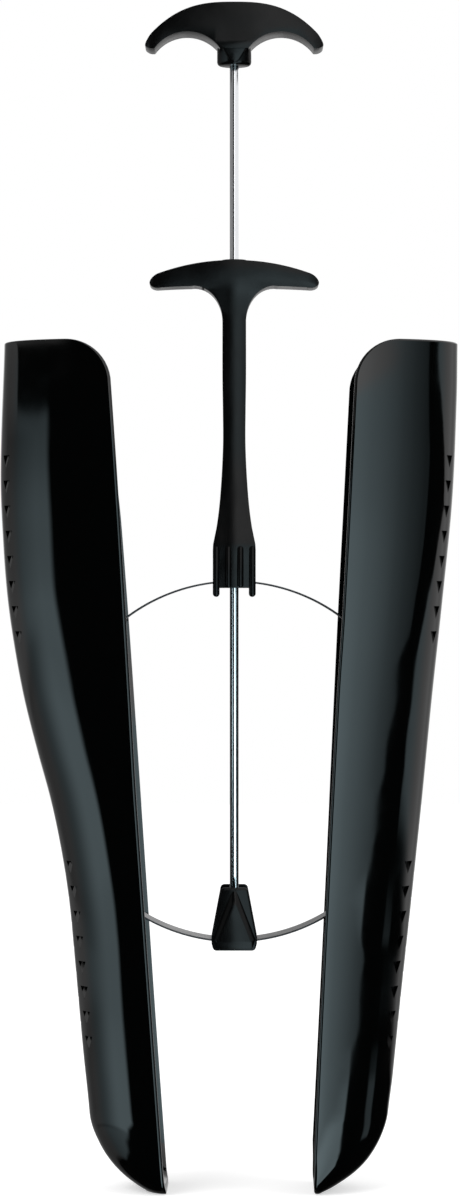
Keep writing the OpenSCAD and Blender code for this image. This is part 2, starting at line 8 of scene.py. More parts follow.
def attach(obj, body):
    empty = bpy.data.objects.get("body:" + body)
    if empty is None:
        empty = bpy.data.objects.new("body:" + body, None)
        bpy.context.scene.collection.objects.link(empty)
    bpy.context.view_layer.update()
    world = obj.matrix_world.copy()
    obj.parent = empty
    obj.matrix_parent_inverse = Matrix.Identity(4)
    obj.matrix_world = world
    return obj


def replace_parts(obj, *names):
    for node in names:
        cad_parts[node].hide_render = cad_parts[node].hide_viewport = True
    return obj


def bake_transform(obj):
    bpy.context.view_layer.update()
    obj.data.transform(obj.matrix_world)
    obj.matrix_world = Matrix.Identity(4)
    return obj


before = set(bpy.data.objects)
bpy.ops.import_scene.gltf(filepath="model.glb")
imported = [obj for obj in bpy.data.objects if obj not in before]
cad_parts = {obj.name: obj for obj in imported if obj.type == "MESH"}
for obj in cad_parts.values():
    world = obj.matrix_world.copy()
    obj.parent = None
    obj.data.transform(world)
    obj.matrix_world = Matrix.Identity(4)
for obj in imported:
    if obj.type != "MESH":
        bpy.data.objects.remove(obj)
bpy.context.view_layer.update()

# The camera stands level in front of the shaper, 1.6 m from the rod, a little left of it and
# just below the top of the spring hoop. At the rod it sees 0.54 m of height.
eye = Vector((-0.0019, -1.6, 0.2648))
seen_height = 0.54
camera = bpy.data.objects.new("camera", bpy.data.cameras.new("camera"))
bpy.context.scene.collection.objects.link(camera)
camera.data.sensor_width = 36
camera.data.lens = 36 * -eye.y / seen_height
camera.location = eye
camera.rotation_euler = (math.radians(90), 0, 0)
bpy.context.scene.camera = camera
bpy.context.scene.view_settings.view_transform = "Standard"

# The floor is a pale sheet that the shaper's two tips stand on. It takes their soft shadow, and
# its own light for the camera alone brings it up to the white of the backdrop.
def new_object(name, bm, material=None, body=None):
    mesh = bpy.data.meshes.new(name)
    bm.to_mesh(mesh)
    bm.free()
    made = bpy.data.objects.new(name, mesh)
    bpy.context.scene.collection.objects.link(made)
    if material:
        mesh.materials.append(material)
    if body:
        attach(made, body)
    return made


def new_material(name):
    material = bpy.data.materials.new(name)
    material.use_nodes = True
    tree = material.node_tree
    return material, tree, tree.nodes["Principled BSDF"]


def node(tree, kind, inputs=None, **settings):
    made = tree.nodes.new(kind)
    for key, value in settings.items():
        setattr(made, key, value)
    for key, value in (inputs or {}).items():
        if isinstance(value, bpy.types.NodeSocket):
            tree.links.new(value, made.inputs[key])
        else:
            made.inputs[key].default_value = value
    return made


floor_size = 3.0
floor_bm = bmesh.new()
bmesh.ops.create_grid(floor_bm, x_segments=1, y_segments=1, size=floor_size)
floor_material, tree, shader = new_material("floor")
shader.inputs["Base Color"].default_value = (0.9, 0.9, 0.9, 1)
shader.inputs["Roughness"].default_value = 0.9
shader.inputs["Specular IOR Level"].default_value = 0
shader.inputs["Emission Color"].default_value = (1, 1, 1, 1)
path = node(tree, "ShaderNodeLightPath")
lift = node(tree, "ShaderNodeMath", {0: path.outputs["Is Camera Ray"], 1: 0.45}, operation="MULTIPLY")
tree.links.new(lift.outputs[0], shader.inputs["Emission Strength"])
floor = new_object("floor", floor_bm, floor_material)
floor.visible_glossy = False

# The backdrop is white to the camera. Gloss and metal see a darker studio: a tall soft panel on
# each side of the camera, both slanted at the foot, and pale walls that fade out behind.
world = bpy.data.worlds.new("studio")
bpy.context.scene.world = world
world.use_nodes = True
world.cycles.sampling_method = "NONE"
tree = world.node_tree
tree.nodes.clear()


def smooth_between(tree, value, low, high, start=0.0, end=1.0):
    ramp = node(tree, "ShaderNodeMapRange", {"Value": value}, interpolation_type="SMOOTHSTEP")
    ramp.inputs["From Min"].default_value = low
    ramp.inputs["From Max"].default_value = high
    ramp.inputs["To Min"].default_value = start
    ramp.inputs["To Max"].default_value = end
    return ramp.outputs[0]


def math_of(tree, operation, *values):
    made = node(tree, "ShaderNodeMath", dict(enumerate(values)), operation=operation)
    return made.outputs[0]


def product(tree, *values):
    total = values[0]
    for value in values[1:]:
        total = math_of(tree, "MULTIPLY", total, value)
    return total


def bent_line(tree, value, points):
    """A line through a few (place, value) points, level past its ends."""
    low, high = points[0][0], points[-1][0]
    top = max(level for _, level in points)
    at = node(tree, "ShaderNodeMapRange", {"Value": value})
    at.inputs["From Min"].default_value = low
    at.inputs["From Max"].default_value = high
    line = node(tree, "ShaderNodeFloatCurve", {"Value": at.outputs[0]})
    curve = line.mapping.curves[0]
    for place, level in points[1:-1]:
        curve.points.new((place - low) / (high - low), level / top)
    curve.points[0].location = (0, points[0][1] / top)
    curve.points[len(curve.points) - 1].location = (1, points[-1][1] / top)
    for point in curve.points:
        point.handle_type = "VECTOR"
    line.mapping.update()
    return product(tree, line.outputs[0], top)


direction = node(tree, "ShaderNodeTexCoord").outputs["Generated"]
parts = node(tree, "ShaderNodeSeparateXYZ", {0: direction})
toward = math_of(tree, "MULTIPLY", parts.outputs["Y"], -1.0)
# Angle from the camera's side, to the right, and angle above the horizon, both in degrees. The edges
# and falls of the panels and walls are lines through points of such an angle and a place or a level.
turn = math_of(tree, "DEGREES", math_of(tree, "ARCTAN2", parts.outputs["X"], toward))
rise = math_of(tree, "DEGREES", math_of(tree, "ARCSINE", parts.outputs["Z"]))
swing = math_of(tree, "ABSOLUTE", turn)
left_edge = bent_line(tree, rise, [(-34, 90), (-26.5, 70), (-23.5, 64), (-20.5, 56.8), (-17.5, 52.8),
                                  (-15, 44.8), (-8, 46.5), (0, 47.5), (6, 50)])
left_top = bent_line(tree, swing, [(60, 4.0), (95, 4.7), (115, 9), (160, 12)])
left_dim = product(
    tree,
    smooth_between(tree, swing, 64, 92, 0, 0.42),
    smooth_between(tree, rise, -10, -12.5),
    smooth_between(tree, rise, -22, -19),
)
left_panel = product(
    tree,
    smooth_between(tree, math_of(tree, "ADD", turn, left_edge), 3, -3),
    bent_line(tree, swing, [(45, 1), (62, 0.95), (78, 0.7), (96, 0.42), (120, 0.24), (150, 0.12)]),
    math_of(tree, "SUBTRACT", 1.0, left_dim),
    bent_line(tree, rise, [(-35, 0), (-32, 0.8), (-20, 1.0), (-18.3, 1.75), (-14, 1.75), (-12, 1.5),
                           (-8.5, 1.55), (-2.5, 1.2), (3.5, 0.72), (6, 1.4)]),
    smooth_between(tree, math_of(tree, "SUBTRACT", rise, left_top), 0.5, -0.5),
)
right_edge = bent_line(tree, rise, [(-33, 58), (-26, 54), (-23, 53), (-17.5, 44.5), (-14.5, 42), (-12, 44),
                                    (-9, 70), (-5.5, 77), (0, 77), (4, 71)])
right_fall = bent_line(tree, swing, [(0, 2.5), (6, 2.25), (18, 1.5), (30, 1.06), (42, 0.65), (54, 0.4),
                                     (72, 0.18)])
right_upper = product(tree, right_fall, smooth_between(tree, rise, 4, -9, 0.9, 1.15))
right_lower = product(tree, smooth_between(tree, rise, -9.8, -14),
                      smooth_between(tree, swing, 14, 44, 2.95, 2.05))
right_panel = product(
    tree,
    smooth_between(tree, turn, -1.0, 0.8),
    smooth_between(tree, math_of(tree, "SUBTRACT", right_edge, turn), -1.5, 1.5),
    math_of(tree, "MAXIMUM", right_upper, right_lower),
)
wall_edge = bent_line(tree, rise, [(-11, 80), (-8.5, 90), (-5.5, 107), (-2.5, 120), (0.5, 111), (3.5, 90),
                                   (5, 80)])
right_wall = product(
    tree,
    smooth_between(tree, math_of(tree, "SUBTRACT", turn, wall_edge), -1.5, 1.5),
    bent_line(tree, swing, [(80, 0.8), (110, 0.66), (130, 0.58), (140, 0.35), (150, 0.3), (165, 0.5)]),
    smooth_between(tree, rise, -12, -10.2),
)
low_middle = math_of(tree, "MULTIPLY_ADD", rise, -0.8, 68.9)
low_strip = product(
    tree,
    smooth_between(tree, math_of(tree, "ABSOLUTE", math_of(tree, "SUBTRACT", turn, low_middle)), 8, 4),
    smooth_between(tree, rise, -26, -24),
    smooth_between(tree, rise, -12.5, -14),
    0.45,
)
left_wall = product(tree, smooth_between(tree, turn, -110, -130), smooth_between(tree, rise, -28, -20), 0.2)
back_wall = product(tree, smooth_between(tree, swing, 152, 162),
                    bent_line(tree, rise, [(-24, 0.05), (-17, 0.2), (-8, 0.35), (0, 0.5), (4, 0.6)]))
high_light = product(
    tree,
    smooth_between(tree, rise, 5.9, 6.8),
    math_of(tree, "MAXIMUM", smooth_between(tree, turn, -25, -45, 0, 0.28),
            smooth_between(tree, turn, 8, 14, 0, 1.1)),
)
seen = math_of(tree, "MAXIMUM", left_panel, left_wall)
for part in (right_panel, right_wall, low_strip, back_wall, high_light):
    seen = math_of(tree, "MAXIMUM", seen, part)
dark_level, fill = 0.006, 0.7
seen = math_of(tree, "ADD", seen, dark_level)
path = node(tree, "ShaderNodeLightPath")
straight = math_of(tree, "MAXIMUM", path.outputs["Is Camera Ray"], path.outputs["Is Transmission Ray"])
other = node(tree, "ShaderNodeMix", {0: path.outputs["Is Glossy Ray"], 2: fill, 3: seen})
level = node(tree, "ShaderNodeMix", {0: straight, 2: other.outputs[0], 3: 1.0})
# The two panels are a cool white, the walls behind are plain
cool = product(tree, smooth_between(tree, swing, 115, 85), smooth_between(tree, rise, 6.2, 5.2),
               path.outputs["Is Glossy Ray"])
tint = node(tree, "ShaderNodeMix", {0: cool, 6: (1, 1, 1, 1), 7: (0.81, 1.05, 1.13, 1)}, data_type="RGBA")
light = node(tree, "ShaderNodeBackground", {"Color": tint.outputs[2], "Strength": level.outputs[0]})
out = node(tree, "ShaderNodeOutputWorld")
tree.links.new(light.outputs[0], out.inputs["Surface"])

# Two soft lamps model the plastic and give the tips their shadow: a large one above on the left
# and a weaker one on the right. They light and are not themselves mirrored.
for name, place, size, power in (
    ("key", (-1.1, -1.3, 1.5), 1.2, 16.0),
    ("side", (1.4, -0.7, 0.8), 1.0, 7.0),
):
    lamp = bpy.data.objects.new(name, bpy.data.lights.new(name, "AREA"))
    lamp.data.size = size
    lamp.data.energy = power
    lamp.location = place
    aim = Vector((0, 0, 0.25)) - Vector(place)
    lamp.rotation_euler = aim.to_track_quat("-Z", "Y").to_euler()
    lamp.visible_glossy = False
    bpy.context.scene.collection.objects.link(lamp)

# The half shells are injection moulded in high-gloss black. Each is one wall, 2.2 mm thick, with a
# rounded lip along its open edge, a spoon-shaped toe and two fields of triangular vents.
mm = 0.001
hoop_r, hoop_z = 80.9, 192.6
shell_h, wall, lip_r, corner_r = 380.0, 2.2, 1.2, 20.0
toe_h, toe_n, tip_flat, tip_round_h, tip_share = 34.0, 1.75, 3.0, 16.0, 0.58
full_half_w, square_low, square_high, splay, edge_r = 37.49, 2.0, 2.4, 0.09, 0.7
side_shape = [(0, 0.66), (20, 0.69), (62, 0.72), (130, 0.77), (197, 0.86), (265, 0.96), (322, 1),
              (shell_h, 0.97)]
calf_back = [(0, -17.9), (toe_h, -15.8), (62, -12.95), (107, -8.85), (130, -6.6), (152, -3.2), (175, 1.6),
             (197, 7.6), (220, 13.4), (242, 17.6), (265, 20.9), (290, 22.9), (322, 24.13),
             (shell_h, 22.3)]
shin_back = [(0, -14.0), (toe_h, -11.2), (85, -6.1), (130, -1.2), (175, 3.5), (220, 7.9), (265, 12.7),
             (310, 17.1), (355, 19.1), (shell_h, 19.48)]
calf_rim, shin_rim = (50.5, 0.069), (46.0, 0.05)
# The open edges are a little twisted: how far the near one stands out and the far one back, by height
calf_near = [(0, -0.4), (175, -0.6), (220, 0.0), (265, 0.55), (320, 1.0), (shell_h, 1.0)]
calf_far = [(0, 0.0), (40, 0.2), (85, 0.35), (130, 0.3), (240, 0.35), (300, 0.8), (320, 1.4), (shell_h, 1.6)]
shin_near = [(0, 0.3), (80, 0.8), (220, 0.8), (260, 0.2), (shell_h, 0.0)]
shin_far = [(0, 0.0), (130, 0.1), (220, -0.1), (260, -0.15), (320, 0.0), (shell_h, 0.0)]
# The toes are blunt: how far the back stands out over the even curve, and the open edge is set back
calf_toe = [(0, 6.8), (0.6, 5.6), (1.8, 4.0), (4, 2.5), (8, 1.5), (14, 0.7), (22, 0)]
shin_toe = [(0, 2.4), (1.2, 1.65), (4, 0.65), (10, 0.5), (14, 0.3), (20, -0.2), (28, -0.6), (36, -0.5),
            (50, 0)]
calf_tip = [(0, -0.55), (1.5, -0.5), (5, -0.1), (9, 0)]
shin_tip = [(0, 1.5), (1.2, 0.95), (4.3, 0.62), (10.6, 0.45), (18, 0)]
wall_steps, lip_steps, arc_steps, lip_share = 84, 5, 180, 0.8
toe_rows, straight_rows, corner_rows, edge_rows = 26, 92, 12, 5


def curve_at(points, at):
    """Smooth curve through (place, value) points, flat past its ends."""
    at = max(points[0][0], min(at, points[-1][0]))
    i = max(k for k in range(len(points) - 1) if k == 0 or points[k][0] <= at)

    def slope(k):
        a, b = max(k - 1, 0), min(k + 1, len(points) - 1)
        return (points[b][1] - points[a][1]) / (points[b][0] - points[a][0])

    h = points[i + 1][0] - points[i][0]
    u = (at - points[i][0]) / h
    ends = points[i][1] * (1 + 2 * u) * (1 - u) ** 2 + points[i + 1][1] * u * u * (3 - 2 * u)
    return ends + h * u * (1 - u) * (slope(i) * (1 - u) - slope(i + 1) * u)


def squared(c, n):
    return math.copysign(abs(c) ** (2 / n), c)


def rim_x(rim, z):
    return hoop_r - rim[0] + rim[1] * z


def toe(z):
    if z >= toe_h:
        return 1.0
    return (1 - ((toe_h - max(z, 0)) / toe_h) ** toe_n) ** (1 / toe_n) if z > 0 else 0.0


def shell_half(z):
    share = 1.0
    if z < tip_round_h:
        share = tip_share + (1 - tip_share) * math.sqrt(1 - ((tip_round_h - max(z, 0)) / tip_round_h) ** 2)
    return full_half_w * curve_at(side_shape, z) * share


def shell_depth(back, rim, z):
    return hoop_r + curve_at(back, z) - rim_x(rim, z)


def squareness(z):
    return curve_at([(110, square_low), (270, square_high)], z)


def open_edge(rim, z):
    """Where the open edge lies at a height, with the corner rounded off at the top."""
    foot = shell_h - corner_r
    if z <= foot:
        return rim_x(rim, z)
    over = min(z - foot, corner_r)
    return rim_x(rim, foot) + corner_r - math.sqrt(corner_r ** 2 - over ** 2)


def even_steps(line, count):
    """The line cut into even steps, with three short ones before each end."""
    run = [0.0]
    for a, b in zip(line, line[1:]):
        run.append(run[-1] + math.dist(a, b))
    short = (0.0, 0.15, 0.5, 1.1)
    total = run[-1]
    even = [short[-1] + (total - 2 * short[-1]) * k / count for k in range(1, count)]
    stops = [*short, *even, *(total - s for s in short[::-1])]
    made, i = [], 0
    for stop in stops:
        while i < len(run) - 2 and run[i + 1] < stop:
            i += 1
        share = (stop - run[i]) / max(run[i + 1] - run[i], 1e-9)
        made.append(tuple(a + (b - a) * share for a, b in zip(line[i], line[i + 1])))
    return made


def shell_section(back, rim, near_out, far_back, blunt, tip, z, inset):
    """One closed C-shaped section: outer wall, near lip, inner wall, far lip."""
    x0, x1, n = rim_x(rim, z) + tip, open_edge(rim, z) + tip, squareness(z)
    half = shell_half(z) - inset
    depth = max(tip_flat, shell_depth(back, rim, z) * toe(z)) + blunt - tip - inset
    in_half = shell_half(z - wall) - wall + inset
    in_depth = max(0.0, shell_depth(back, rim, z) * toe(z - wall) - wall + inset)

    def sweep(reach, side, run, count, flip):
        start = math.acos(max(0.0, min(1.0, (x1 - x0) / max(run, 1e-3))) ** (n / 2))
        line = []
        for k in range(2 * arc_steps + 1):
            a = flip * (start - start * k / arc_steps)
            share = squared(math.cos(a), n)
            line.append((x0 + reach + run * share, side * squared(math.sin(a), n) * (1 - splay * share)))
        return even_steps(line, count)

    outer = sweep(lip_r, half, depth - lip_r, wall_steps, 1)
    inner = sweep(0.0, in_half, in_depth, wall_steps, -1)
    edge_y = outer[0][1]
    turn_in = min(lip_r, lip_share * (edge_y - inner[-1][1]))
    lip = []
    for k in range(1, lip_steps + 1):
        a = math.radians(90 * k / lip_steps)
        lip.append((x1 + lip_r * (1 - math.sin(a)), edge_y - turn_in * (1 - math.cos(a))))
    near = [(x, -y) for x, y in lip]
    section = []
    for x, y in outer + near + inner + lip[::-1]:
        across = min(1.0, max(0.0, (y / half + 1) / 2))
        pull = far_back * across - near_out * (1 - across)
        section.append((x + pull * (1 - min(1.0, (x - x1) / depth)), y))
    return section


def shell_heights():
    """Heights of the sections, closer together at the toe and towards the rounded top."""
    def round_off(count):
        return [math.sin(math.radians(90 * k / count)) for k in range(1, count + 1)]

    foot, run = shell_h - corner_r, shell_h - corner_r - toe_h
    low = [toe_h * (k / toe_rows) ** 2 for k in range(toe_rows + 1)]
    straight = [toe_h + k * run / straight_rows for k in range(1, straight_rows + 1)]
    corner = [foot + (corner_r - edge_r) * share for share in round_off(corner_rows)]
    edge = [shell_h - edge_r + edge_r * share for share in round_off(edge_rows)]
    return low + straight + corner + edge


def wrap_grid(bm, rows):
    """A grid laid over rows of points, closed round each row."""
    count = len(rows[0])
    bmesh.ops.create_grid(bm, x_segments=count, y_segments=len(rows) - 1, size=1)
    for v in bm.verts:
        column = round((v.co.x + 1) / 2 * count) % count
        row = round((v.co.y + 1) / 2 * (len(rows) - 1))
        v.co = Vector(rows[row][column])
    bmesh.ops.remove_doubles(bm, verts=bm.verts, dist=1e-7)
    ends = [e for e in bm.edges if e.is_boundary]
    bmesh.ops.holes_fill(bm, edges=ends, sides=0)
    bmesh.ops.recalc_face_normals(bm, faces=bm.faces)


def smoothed(mesh, crease):
    """Smooth shading up to a crease angle in degrees, sharp past it."""
    for polygon in mesh.polygons:
        polygon.use_smooth = True
    mesh.set_sharp_from_angle(angle=math.radians(crease))


def baked(thing):
    """The piece with its modifiers applied."""
    scene_view = bpy.context.evaluated_depsgraph_get()
    thing.data = bpy.data.meshes.new_from_object(thing.evaluated_get(scene_view))
    thing.modifiers.clear()
    smoothed(thing.data, 35)
    return thing


def cut(thing, *cutters):
    """Cuts the cutters out of the piece and removes them."""
    for cutter in cutters:
        boolean = thing.modifiers.new("cut", "BOOLEAN")
        boolean.object = cutter
        boolean.solver = "EXACT"
    baked(thing)
    for cutter in cutters:
        bpy.data.objects.remove(cutter)
    return thing


vent_side, vent_pitch, vent_col, vent_rows = 6.5, 11.2, 15.4, 8
vent_tops, vent_reach = (333.0, 152.0), 5 * wall


def wall_x(back, rim, y, z, inset=0.0):
    """Outside of the back wall at a height, a distance from the middle."""
    n, half = squareness(z), (shell_half(z) - inset) * (1 - splay)
    run = shell_depth(back, rim, z) - lip_r - inset
    return rim_x(rim, z) + lip_r + run * max(0.0, 1 - (abs(y) / half) ** n) ** (1 / n)


def vent_cutter(side, back, rim):
    """Two fields of prisms in three columns, each square to the wall with a point down."""
    bm = bmesh.new()
    corner = vent_side / math.sqrt(3)
    for top in vent_tops:
        for row in range(vent_rows):
            for column in (-1, 0, 1):
                z = top - (row + 0.5 * abs(column)) * vent_pitch
                y = column * vent_col * shell_half(z) / full_half_w
                lean = wall_x(back, rim, y - 0.5, z) - wall_x(back, rim, y + 0.5, z)
                place = (
                    Matrix.Translation((wall_x(back, rim, y, z), y, z))
                    @ Matrix.Rotation(math.atan2(lean, 1), 4, "Z")
                    @ Matrix.Rotation(math.radians(90), 4, "Y")
                )
                prism = bmesh.ops.create_cone(bm, cap_ends=True, segments=3, radius1=corner, radius2=corner,
                                              depth=vent_reach)
                low = min(prism["verts"], key=lambda v: (place @ v.co).z)
                spin = math.atan2(low.co.y, low.co.x)
                bmesh.ops.rotate(bm, verts=prism["verts"], matrix=Matrix.Rotation(-spin, 3, "Z"))
                bmesh.ops.transform(bm, matrix=place, verts=prism["verts"])
    bmesh.ops.transform(bm, matrix=Matrix.Diagonal((side * mm, mm, mm, 1)), verts=bm.verts)
    bmesh.ops.recalc_face_normals(bm, faces=bm.faces)
    return new_object("vent_cutter", bm)


# Moulded gloss: a deep black whose mirror finish waves a little where the wall shrank in the mould
def wave_group():
    group = bpy.data.node_groups.new("moulding_waves", "ShaderNodeTree")
    inputs = {"Wave size": 20.0, "Wave depth": 0.001, "Grain size": 900.0, "Grain share": 0.05}
    for name, default in inputs.items():
        socket = group.interface.new_socket(name, in_out="INPUT", socket_type="NodeSocketFloat")
        socket.default_value = default
    group.interface.new_socket("Normal", in_out="OUTPUT", socket_type="NodeSocketVector")
    group.interface.new_socket("Wipe", in_out="OUTPUT", socket_type="NodeSocketFloat")
    entry, leave = group.nodes.new("NodeGroupInput"), group.nodes.new("NodeGroupOutput")
    given = entry.outputs
    place = node(group, "ShaderNodeTexCoord").outputs["Object"]
    waves = node(group, "ShaderNodeTexNoise", {"Vector": place, "Scale": given["Wave size"], "Detail": 1.0})
    grain = node(group, "ShaderNodeTexNoise", {"Vector": place, "Scale": given["Grain size"], "Detail": 2.0})
    both = math_of(group, "ADD", waves.outputs["Fac"],
                   math_of(group, "MULTIPLY", grain.outputs["Fac"], given["Grain share"]))
    bump = node(group, "ShaderNodeBump", {"Height": both, "Distance": given["Wave depth"]})
    wipe = node(group, "ShaderNodeTexNoise", {"Vector": place, "Scale": 60.0, "Detail": 3.0})
    group.links.new(bump.outputs[0], leave.inputs["Normal"])
    group.links.new(wipe.outputs["Fac"], leave.inputs["Wipe"])
    return group


moulding = wave_group()


def plastic(name, colour, smooth, rough, wave, depth, grain, share, shine=0.5):
    """A moulded plastic with its own waves and grain, wiped between two roughnesses."""
    material, tree, shader = new_material(name)
    shader.inputs["Base Color"].default_value = (*colour, 1)
    shader.inputs["Specular IOR Level"].default_value = shine
    effect = node(tree, "ShaderNodeGroup", node_tree=moulding)
    effect.inputs["Wave size"].default_value = wave
    effect.inputs["Wave depth"].default_value = depth
    effect.inputs["Grain size"].default_value = grain
    effect.inputs["Grain share"].default_value = share
    tree.links.new(effect.outputs["Normal"], shader.inputs["Normal"])
    tree.links.new(smooth_between(tree, effect.outputs["Wipe"], 0.35, 0.7, smooth, rough),
                   shader.inputs["Roughness"])
    return material


shell_black = plastic("shell_black", (0.0005, 0.0006, 0.0006), 0.04, 0.07, 16.0, 0.0006, 900.0, 0.002)


def shell(name, side, back, rim, near, far, blunt, tip, body):
    """A half shell laid over its sections from tip to top, with the vents cut through it."""
    rows = []
    for z in shell_heights():
        over = max(0.0, edge_r - (shell_h - z))
        inset = edge_r - math.sqrt(edge_r ** 2 - over ** 2)
        twist = curve_at(near, z), curve_at(far, z)
        section = shell_section(back, rim, *twist, curve_at(blunt, z), curve_at(tip, z), z, inset)
        rows.append([(side * x * mm, y * mm, z * mm) for x, y in section])
    bm = bmesh.new()
    wrap_grid(bm, rows)
    made = new_object(name, bm, shell_black)
    cut(made, vent_cutter(side, back, rim))
    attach(made, body)
    return made


calf = shell("calf_half", -1, calf_back, calf_rim, calf_near, calf_far, calf_toe, calf_tip, "left_shell")
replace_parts(calf, "calf_shell")
shin = shell("shin_half", 1, shin_back, shin_rim, shin_near, shin_far, shin_toe, shin_tip, "right_shell")
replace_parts(shin, "shin_shell")

# Each shell is moulded with a seat inside, a block with a channel that the band lies in. The
# keeper is screwed over it.
seat_x, seat_up, seat_down = 78.6, 19.0, 13.0
channel_half, cheek_w, band_gap, root_in_wall = 10.3, 4.0, 0.3, 0.8


def disc(name, radius, half_w):
    """A drum about the hoop's axis, in metres, to cut with."""
    bm = bmesh.new()
    bmesh.ops.create_cone(bm, cap_ends=True, segments=180, radius1=radius * mm, radius2=radius * mm,
                          depth=2 * half_w * mm)
    bmesh.ops.rotate(bm, verts=bm.verts, matrix=Matrix.Rotation(math.radians(90), 3, "X"))
    bmesh.ops.translate(bm, verts=bm.verts, vec=(0, 0, hoop_z * mm))
    return new_object(name, bm)


def seat(name, side, back, rim, body):
    """The block between the wall and the band, with the band's channel cut in its face."""
    bm = bmesh.new()
    bmesh.ops.create_cube(bm, size=1)
    bmesh.ops.subdivide_edges(bm, edges=bm.edges, cuts=7, use_grid_fill=True)
    middle, height = (seat_up - seat_down) / 2 + hoop_z, seat_up + seat_down
    for v in bm.verts:
        y, z = v.co.y * 2 * (channel_half + cheek_w), v.co.z * height + middle
        root = wall_x(back, rim, y, z, wall - root_in_wall)
        share = v.co.x + 0.5
        v.co = Vector((side * (seat_x + (root - seat_x) * share), y, z)) * mm
    bmesh.ops.recalc_face_normals(bm, faces=bm.faces)
    made = new_object(name, bm, shell_black)
    cut(made, disc("channel", hoop_r + band_gap, channel_half))
    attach(made, body)
    return made


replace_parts(seat("calf_seat", -1, calf_back, calf_rim, "left_shell"), "calf_shell")
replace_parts(seat("shin_seat", 1, shin_back, shin_rim, "right_shell"), "shin_shell")

# The T grip is one moulding in satin black: arms, a long stem, and a foot with four ribs on each
# face whose outer pair run down as legs over the band.
hoop_top = hoop_r + hoop_z
foot_drop, groove_h, groove_d, stem_len = 3.3, 17.0, 1.5, 132.0
grip_t, grip_len, grip_d, grip_end, grip_drop, grip_dip = 11.4, 76.0, 20.0, 4.0, 7.3, 1.2
foot_bottom, arm_under = hoop_top - foot_drop, hoop_top + stem_len
arm_top = arm_under + grip_t
stem_half_w, stem_half_d, fillet_h, fillet_reach = 5.3, 6.4, 15.5, 12.6
foot_w, fork_t, rib_w, rib_reach, rib_over, leg_drop = 19.2, 2.3, 3.0, 1.5, 1.8, 4.0
foot_half_d, clamp_gap, bore_r, bore_past = channel_half + fork_t, 0.1, 2.6, 5.0
shoulder = foot_bottom + groove_h
stem_run = arm_under - fillet_h - shoulder
stem_widths = [(0, foot_w / 2), (2.6, foot_w / 2 - 0.15), (6, 8.75), (10, 7.95), (14, 7.35), (19, 6.75),
               (25, 6.2), (33, 5.65), (41, 5.25), (50, 5.0), (62, 5.1), (78, stem_half_w),
               (stem_run, stem_half_w)]
stem_depths = [(-groove_h, foot_half_d - groove_d), (-7, foot_half_d - groove_d), (3, foot_half_d - 0.9),
               (12, foot_half_d - 2.9), (26, stem_half_d + 1.2), (48, stem_half_d), (stem_run, stem_half_d)]
handle_black = plastic("handle_black", (0.0016, 0.0017, 0.0018), 0.16, 0.24, 40.0, 0.0003, 2600.0, 0.04,
                       shine=0.16)


def fillet(z):
    u = max(0.0, min(1.0, (z - shoulder - stem_run) / fillet_h))
    return 1 - math.sqrt(1 - u * u)


def grip_high(s):
    return arm_top - grip_drop * abs(s) ** 2.07


def grip_low(s):
    return arm_under - grip_dip * abs(s) ** 3


def end_round(s, length, over):
    left = length / 2 * (1 - abs(s))
    return 1.0 if left >= over else max(0.0, 1 - (1 - left / over) ** 2) ** 0.5


def slab(name, outline, depth_at, x_cuts, z_cuts, round_r, material):
    """A moulding seen from the front as an outline, its half depth varying over it, its edges rounded."""
    bm = bmesh.new()
    face = bm.faces.new([bm.verts.new((x * mm, 0, z * mm)) for x, z in outline])
    for x in x_cuts:
        bmesh.ops.bisect_plane(bm, geom=bm.verts[:] + bm.edges[:] + bm.faces[:], dist=1e-7,
                               plane_co=(x * mm, 0, 0), plane_no=(1, 0, 0))
    for z in z_cuts:
        bmesh.ops.bisect_plane(bm, geom=bm.verts[:] + bm.edges[:] + bm.faces[:], dist=1e-7,
                               plane_co=(0, 0, z * mm), plane_no=(0, 0, 1))
    grown = bmesh.ops.extrude_face_region(bm, geom=bm.faces[:])["geom"]
    back = {v for v in grown if isinstance(v, bmesh.types.BMVert)}
    for v in bm.verts:
        half = depth_at(v.co.x / mm, v.co.z / mm) * mm
        v.co.y = half if v in back else -half
    bmesh.ops.recalc_face_normals(bm, faces=bm.faces)
    # The rims are the sharp edges round the front and the back, not those between them
    rims = [e for e in bm.edges if len(e.link_faces) == 2 and e.calc_face_angle(0) > math.radians(60)
            and abs(e.verts[0].co.y - e.verts[1].co.y) < 2 * mm]
    bmesh.ops.bevel(bm, geom=rims, offset=round_r * mm, segments=5, profile=0.5, affect="EDGES",
                    clamp_overlap=True, material=-1)
    bmesh.ops.recalc_face_normals(bm, faces=bm.faces)
    return new_object(name, bm, material)


def grip_outline():
    """The T seen from the front, from the foot's left corner round to its right one."""
    right = [(foot_w / 2, foot_bottom)]
    for k in range(41):
        z = shoulder + k * stem_run / 40
        right.append((curve_at(stem_widths, z - shoulder), z))
    for k in range(1, 13):
        z = arm_under - fillet_h * (1 - math.sin(math.radians(7.5 * k)))
        right.append((stem_half_w + fillet_reach * fillet(z), z))
    reach = stem_half_w + fillet_reach
    for k in range(1, 15):
        s = (reach + (grip_len / 2 - grip_end - reach) * k / 14) / (grip_len / 2)
        right.append((s * grip_len / 2, grip_low(s)))
    s_end = 1 - grip_end / (grip_len / 2)
    for k in range(1, 18):
        a = math.radians(-90 + 180 * k / 18)
        x = grip_len / 2 - grip_end + grip_end * math.cos(a)
        s = x / (grip_len / 2)
        middle, half = (grip_high(s) + grip_low(s)) / 2, (grip_high(s) - grip_low(s)) / 2
        right.append((x, middle + half * math.sin(a)))
    for k in range(0, 31):
        s = s_end * (1 - k / 30)
        right.append((s * grip_len / 2, grip_high(s)))
    left = [(-x, z) for x, z in right[:-1]]
    return right + left[::-1]


